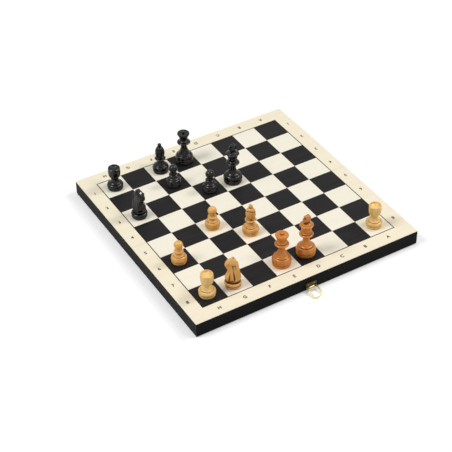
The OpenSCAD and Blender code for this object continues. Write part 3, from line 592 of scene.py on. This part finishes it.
makers = {
    "pawn": lambda: turnMan("pawn"), "rook": lambda: turnMan("rook"), "bishop": makeBishop,
    "queen": lambda: turnMan("queen"), "king": makeKing}
menOfKind = {
    "pawn": ["white_pawn_1", "white_pawn_2", "black_pawn_1", "black_pawn_2"],
    "rook": ["white_rook_1", "white_rook_2", "black_rook"],
    "bishop": ["white_bishop", "black_bishop"],
    "queen": ["white_queen", "black_queen"],
    "king": ["white_king", "black_king"]}
woods = {
    "white_rook_1": paleWood, "white_rook_2": paleWood, "white_bishop": honeyWood, "white_pawn_1": honeyWood,
    "white_pawn_2": honeyWood, "white_knight": honeyWood, "white_queen": brownWood, "white_king": brownWood}


def woodOf(node):
    if node in woods:
        return woods[node], "honey_varnished_wood"
    return blackWood, "ebonised_wood"


for kind, men in menOfKind.items():
    pattern = markCreases(makers[kind]())
    for node in men:
        wood, slot = woodOf(node)
        standMan(pattern, node, wood)
    bpy.data.objects.remove(pattern)
print("turned men made")

carving = {
    "voxel": 0.36, "smooth": 2, "lean": 8.7, "pivot": 14.0,
    "turn": {"white_knight": 128, "black_knight": -68},
    "neck": [
        (7.9, 13.4), (7.7, 16.0), (7.3, 19.0), (6.6, 22.0), (5.9, 25.0), (5.3, 28.0), (4.9, 32.0),
        (4.8, 41.0)],
    "neckBack": -4.6, "neckFront": 3.6, "creaseShade": 2.6, "feltTop": 0.7,
    "mane": [(4.4, 12.6), (4.5, 18.0), (4.2, 24.0), (3.9, 30.0), (3.6, 36.0), (3.2, 41.0)],
    "maneBack": -10.8, "maneFront": -9.5}


def packRecess(halves, back, front, node):
    # wood across the horse, as thick at each height as halves say, between two distances from its axis
    outline = list(halves) + [(-half, z) for half, z in reversed(halves)]
    wood = drawOutline(outline, front - back, "Y")
    look = Matrix.Rotation(math.radians(carving["turn"][node]), 4, "Z")
    pivot = Vector((0, 0, carving["pivot"] * mm))
    lean = Matrix.Translation(pivot) @ Matrix.Rotation(math.radians(carving["lean"]), 4, "Y")
    across = Matrix.Translation(Vector(((front + back) / 2 * mm, 0, 0)) - pivot)
    quarterTurn = Matrix.Rotation(math.pi / 2, 4, "Z")
    wood.data.transform(standOf(node) @ look @ lean @ (across @ quarterTurn))
    return wood


def copyNode(node, name):
    # a node's mesh in an object of its own, with its loose triangles merged
    piece = bpy.data.objects.new(name, nodes[node].data.copy())
    bpy.context.scene.collection.objects.link(piece)
    pickOnly(piece)
    startEdit()
    bpy.ops.mesh.remove_doubles(threshold=0.001 * mm)
    return endEdit()


def carveKnight(node):
    # the knight's own solid, made one skin and softened as a carver's tools leave it
    knight = copyNode(node, node + "_carved")
    neck = packRecess(carving["neck"], carving["neckBack"], carving["neckFront"], node)
    mane = packRecess(carving["mane"], carving["maneBack"], carving["maneFront"], node)
    knight = joinPieces([knight, neck, mane])
    useModifier(knight, "REMESH", "one skin", mode="VOXEL", voxel_size=carving["voxel"] * mm)
    useModifier(knight, "SMOOTH", "soften", factor=0.5, iterations=carving["smooth"])
    # painted shade: the knight's grooves are darkened more strongly than the turned men's
    markCreases(knight, carving["creaseShade"])
    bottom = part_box(node)[0].z
    wood, slot = woodOf(node)
    finishPiece(knight, node + "_carved", [wood, felt], node, [node])
    for face in knight.data.polygons:
        face.use_smooth = True
        face.material_index = 1 if face.center.z < bottom + carving["feltTop"] * mm else 0


for node in ("white_knight", "black_knight"):
    carveKnight(node)
print("knights carved")

hasp = {
    "width": 18.0, "length": 21.0, "start": 1.8, "window": 3.8, "arm": 3.0, "bar": 3.0, "chamfer": 3.9,
    "thickness": 1.0, "edge": 0.3, "inner": 0.2, "barrel": 2.8, "barrelEdge": 0.2, "knuckle": 8.7,
    "tongueStart": 0.4, "tongueLap": 0.6, "tongueShare": 0.9, "smooth": 40,
    "slope": 13.81, "axis": (0.0, -177.094, 5.5)}


def chamferedFrame(halfWide, near, far, corner):
    # an outline between two distances from the pin, with its far corners cut off
    return [(-halfWide, -near), (halfWide, -near), (halfWide, -(far - corner)), (halfWide - corner, -far),
            (-(halfWide - corner), -far), (-halfWide, -(far - corner))]


def makeHasp():
    # a stamped frame with chamfered corners, its tongue rolled round the pin
    thick = hasp["thickness"]
    plate = drawOutline(
        chamferedFrame(hasp["width"] / 2, hasp["start"], hasp["length"], hasp["chamfer"]), thick, "Z")
    inside = hasp["width"] / 2 - hasp["arm"]
    window = drawOutline(
        chamferedFrame(inside, hasp["window"], hasp["length"] - hasp["bar"], hasp["inner"]), thick * 3, "Z")
    cutAway(plate, window)
    useModifier(plate, "BEVEL", "soften", width=hasp["edge"] * mm, segments=3, limit_method="ANGLE")
    tongueEnd = hasp["start"] + hasp["tongueLap"]
    tongue = drawOutline(
        chamferedFrame(hasp["knuckle"] / 2, hasp["tongueStart"], tongueEnd, hasp["inner"]),
        thick * hasp["tongueShare"], "Z")
    clearSelection()
    bpy.ops.mesh.primitive_cylinder_add(
        vertices=32, radius=hasp["barrel"] / 2 * mm, depth=hasp["knuckle"] * mm,
        rotation=(0, math.pi / 2, 0))
    bpy.ops.object.transform_apply(location=False, rotation=True, scale=False)
    barrel = bpy.context.object
    useModifier(barrel, "BEVEL", "soften", width=hasp["barrelEdge"] * mm, segments=2, limit_method="ANGLE")
    whole = joinPieces([plate, tongue, barrel])
    slope = Matrix.Rotation(math.radians(hasp["slope"]), 4, "X")
    whole.data.transform(Matrix.Translation(Vector(hasp["axis"]) * mm) @ slope)
    smoothUnder(hasp["smooth"])
    finishPiece(whole, "hasp_frame", [paleBrass], "hasp", ["hasp"])


makeHasp()
print("hasp made")

die = {"half": 7.25, "round": 10.25, "turn": 12, "skin": 0.05}


def placesOf(one, middle, degrees):
    # the middles of a die's faces, in millimetres from its own middle, with the die turned
    turn = Matrix.Rotation(math.radians(degrees), 3, "Z")
    return [turn @ (face.center - middle) / mm for face in one.data.polygons]


def onFlat(place):
    return max(abs(side) for side in place) > die["half"] - die["skin"]


def flatFaces(places):
    return sum(onFlat(place) for place in places)


def paintPips():
    # the frame's own dice, with white paint in the hollows of their faces
    copyNode("dice", "dice_painted")
    startEdit()
    bpy.ops.mesh.separate(type="LOOSE")
    endEdit()
    both = list(bpy.context.selected_objects)
    for one in both:
        one.data.materials.clear()
        one.data.materials.append(diePlastic)
        one.data.materials.append(pipPaint)
        corners = [point.co for point in one.data.vertices]
        low = Vector([min(corner[axis] for corner in corners) for axis in range(3)])
        high = Vector([max(corner[axis] for corner in corners) for axis in range(3)])
        middle = (low + high) / 2
        # one die lies turned to each side; undone the right way, most faces are flat to the axes
        ways = [placesOf(one, middle, die["turn"]), placesOf(one, middle, -die["turn"])]
        for face, place in zip(one.data.polygons, max(ways, key=flatFaces)):
            inside = max(abs(side) for side in place) < die["half"] - die["skin"]
            face.material_index = 1 if inside and place.length < die["round"] - die["skin"] else 0
    dice = joinPieces(both)
    dice.name = dice.data.name = "dice_painted"
    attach(dice, "front_tray")
    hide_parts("dice")


paintPips()
print("dice painted")

marking = {"letters": "HGFEDCBA", "rows": 4, "size": 7.6, "bold": 0.24, "thickness": 0.02}


def printMark(mark, x, y, turned):
    # one letter or number, lying flat on the border's veneer
    clearSelection()
    bpy.ops.object.text_add(location=(0, 0, 0))
    text = bpy.context.object
    text.data.body = mark
    text.data.size = marking["size"] * mm
    text.data.extrude = marking["thickness"] / 2 * mm
    text.data.offset = marking["bold"] * mm
    text.data.align_x = "CENTER"
    text.data.align_y = "CENTER"
    bpy.ops.object.convert(target="MESH")
    mesh = bpy.context.object
    turn = Matrix.Rotation(math.pi if turned else 0.0, 4, "Z")
    mesh.data.transform(Matrix.Translation((x, y, boardTop + marking["thickness"] / 2 * mm)) @ turn)
    return mesh


def printTray(side):
    # side is -1 for the front tray and 1 for the back one
    square = fieldHalf / marking["rows"]
    middle = (boardHalf + fieldHalf) / 2
    marks = []
    for file, letter in enumerate(marking["letters"]):
        x = (file + 0.5 - marking["rows"]) * square
        marks.append(printMark(letter, x, foldY + side * middle, side > 0))
    for row in range(marking["rows"]):
        y = foldY + side * (row + 0.5) * square
        number = str(marking["rows"] + 1 + row if side < 0 else marking["rows"] - row)
        marks.append(printMark(number, -middle, y, False))
        marks.append(printMark(number, middle, y, True))
    return joinPieces(marks)


for side, body in ((-1, "front_tray"), (1, "back_tray")):
    finishPiece(printTray(side), body + "_coordinates", [printInk], body)
print("coordinates printed")

view = {
    "lens": 101.1134, "sensor": 36, "place": (-0.7635, -1.25339, 1.20574),
    "azimuth": 30.2146, "down": 39.5958, "roll": -1.0936}
bpy.ops.object.select_all(action="DESELECT")
cameraData = bpy.data.cameras.new("camera")
cameraData.lens = view["lens"]
cameraData.sensor_width = view["sensor"]
camera = bpy.data.objects.new("camera", cameraData)
bpy.context.scene.collection.objects.link(camera)
turn = Matrix.Rotation(-math.radians(view["azimuth"]), 4, "Z")
tip = Matrix.Rotation(math.radians(90 - view["down"]), 4, "X")
roll = Matrix.Rotation(math.radians(view["roll"]), 4, "Z")
camera.matrix_world = Matrix.Translation(view["place"]) @ turn @ tip @ roll
bpy.context.scene.camera = camera

studio = {
    "floorSize": 12.0, "floorTone": 0.9, "floorGlow": 0.3, "fill": 0.15,
    "lamps": [
        {"name": "left", "azimuth": -102, "height": 52, "far": 3.0, "size": 1.1, "watts": 40},
        {"name": "right", "azimuth": 77.5, "height": 48, "far": 3.0, "size": 0.6, "watts": 25},
        {"name": "front", "azimuth": 42, "height": 54, "far": 3.0, "size": 0.7, "watts": 16},
        {"name": "back", "azimuth": 165, "height": 75, "far": 3.0, "size": 1.6, "watts": 11}]}


def makeFloor():
    # a white cloth that glows a little where it is looked at or mirrored
    clearSelection()
    bpy.ops.mesh.primitive_plane_add(size=studio["floorSize"], location=(0, 0, 0))
    floor = bpy.context.object
    floor.name = "floor"
    finish = bpy.data.materials.new("white floor")
    finish.use_nodes = True
    tree = finish.node_tree
    tree.nodes.clear()
    out = addNode(finish, "ShaderNodeOutputMaterial")
    tone = studio["floorTone"]
    cloth = addNode(finish, "ShaderNodeBsdfDiffuse", Color=(tone, tone, tone, 1))
    glow = addNode(finish, "ShaderNodeEmission", Color=(1, 1, 1, 1))
    both = addNode(finish, "ShaderNodeAddShader")
    path = addNode(finish, "ShaderNodeLightPath")
    seen = addNode(finish, "ShaderNodeMath", operation="MAXIMUM")
    level = addNode(finish, "ShaderNodeMath", operation="MULTIPLY")
    level.inputs[1].default_value = studio["floorGlow"]
    wire(finish, path, "Is Camera Ray", seen, 0)
    wire(finish, path, "Is Glossy Ray", seen, 1)
    wire(finish, seen, 0, level, 0)
    wire(finish, level, 0, glow, "Strength")
    wire(finish, cloth, 0, both, 0)
    wire(finish, glow, 0, both, 1)
    wire(finish, both, 0, out, "Surface")
    floor.data.materials.append(finish)


def makeWorld():
    # white where it is looked at or mirrored, softer as a light
    world = bpy.data.worlds.new("studio")
    bpy.context.scene.world = world
    world.use_nodes = True
    tree = world.node_tree
    tree.nodes.clear()
    out = tree.nodes.new("ShaderNodeOutputWorld")
    sky = tree.nodes.new("ShaderNodeBackground")
    path = tree.nodes.new("ShaderNodeLightPath")
    seen = tree.nodes.new("ShaderNodeMath")
    seen.operation = "MAXIMUM"
    through = tree.nodes.new("ShaderNodeMath")
    through.operation = "MAXIMUM"
    level = tree.nodes.new("ShaderNodeMapRange")
    level.inputs["To Min"].default_value = studio["fill"]
    level.inputs["To Max"].default_value = 1.0
    tree.links.new(path.outputs["Is Camera Ray"], seen.inputs[0])
    tree.links.new(path.outputs["Is Glossy Ray"], seen.inputs[1])
    tree.links.new(seen.outputs[0], through.inputs[0])
    tree.links.new(path.outputs["Is Transmission Ray"], through.inputs[1])
    tree.links.new(through.outputs[0], level.inputs["Value"])
    tree.links.new(level.outputs[0], sky.inputs["Strength"])
    tree.links.new(sky.outputs[0], out.inputs["Surface"])


def makeLamp(name, azimuth, height, far, size, watts):
    # azimuth 0 stands in front of the board, 90 on its right
    lamp = bpy.data.lights.new(name, "AREA")
    lamp.shape = "SQUARE"
    lamp.size = size
    lamp.energy = watts
    holder = bpy.data.objects.new(name, lamp)
    bpy.context.scene.collection.objects.link(holder)
    flat = math.cos(math.radians(height)) * far
    side = math.radians(azimuth)
    place = Vector((math.sin(side) * flat, -math.cos(side) * flat, math.sin(math.radians(height)) * far))
    holder.location = place
    holder.rotation_mode = "QUATERNION"
    holder.rotation_quaternion = (-place).to_track_quat("-Z", "Y")


makeFloor()
makeWorld()
for lamp in studio["lamps"]:
    makeLamp(**lamp)
bpy.context.scene.view_settings.view_transform = "Standard"
print("studio set")
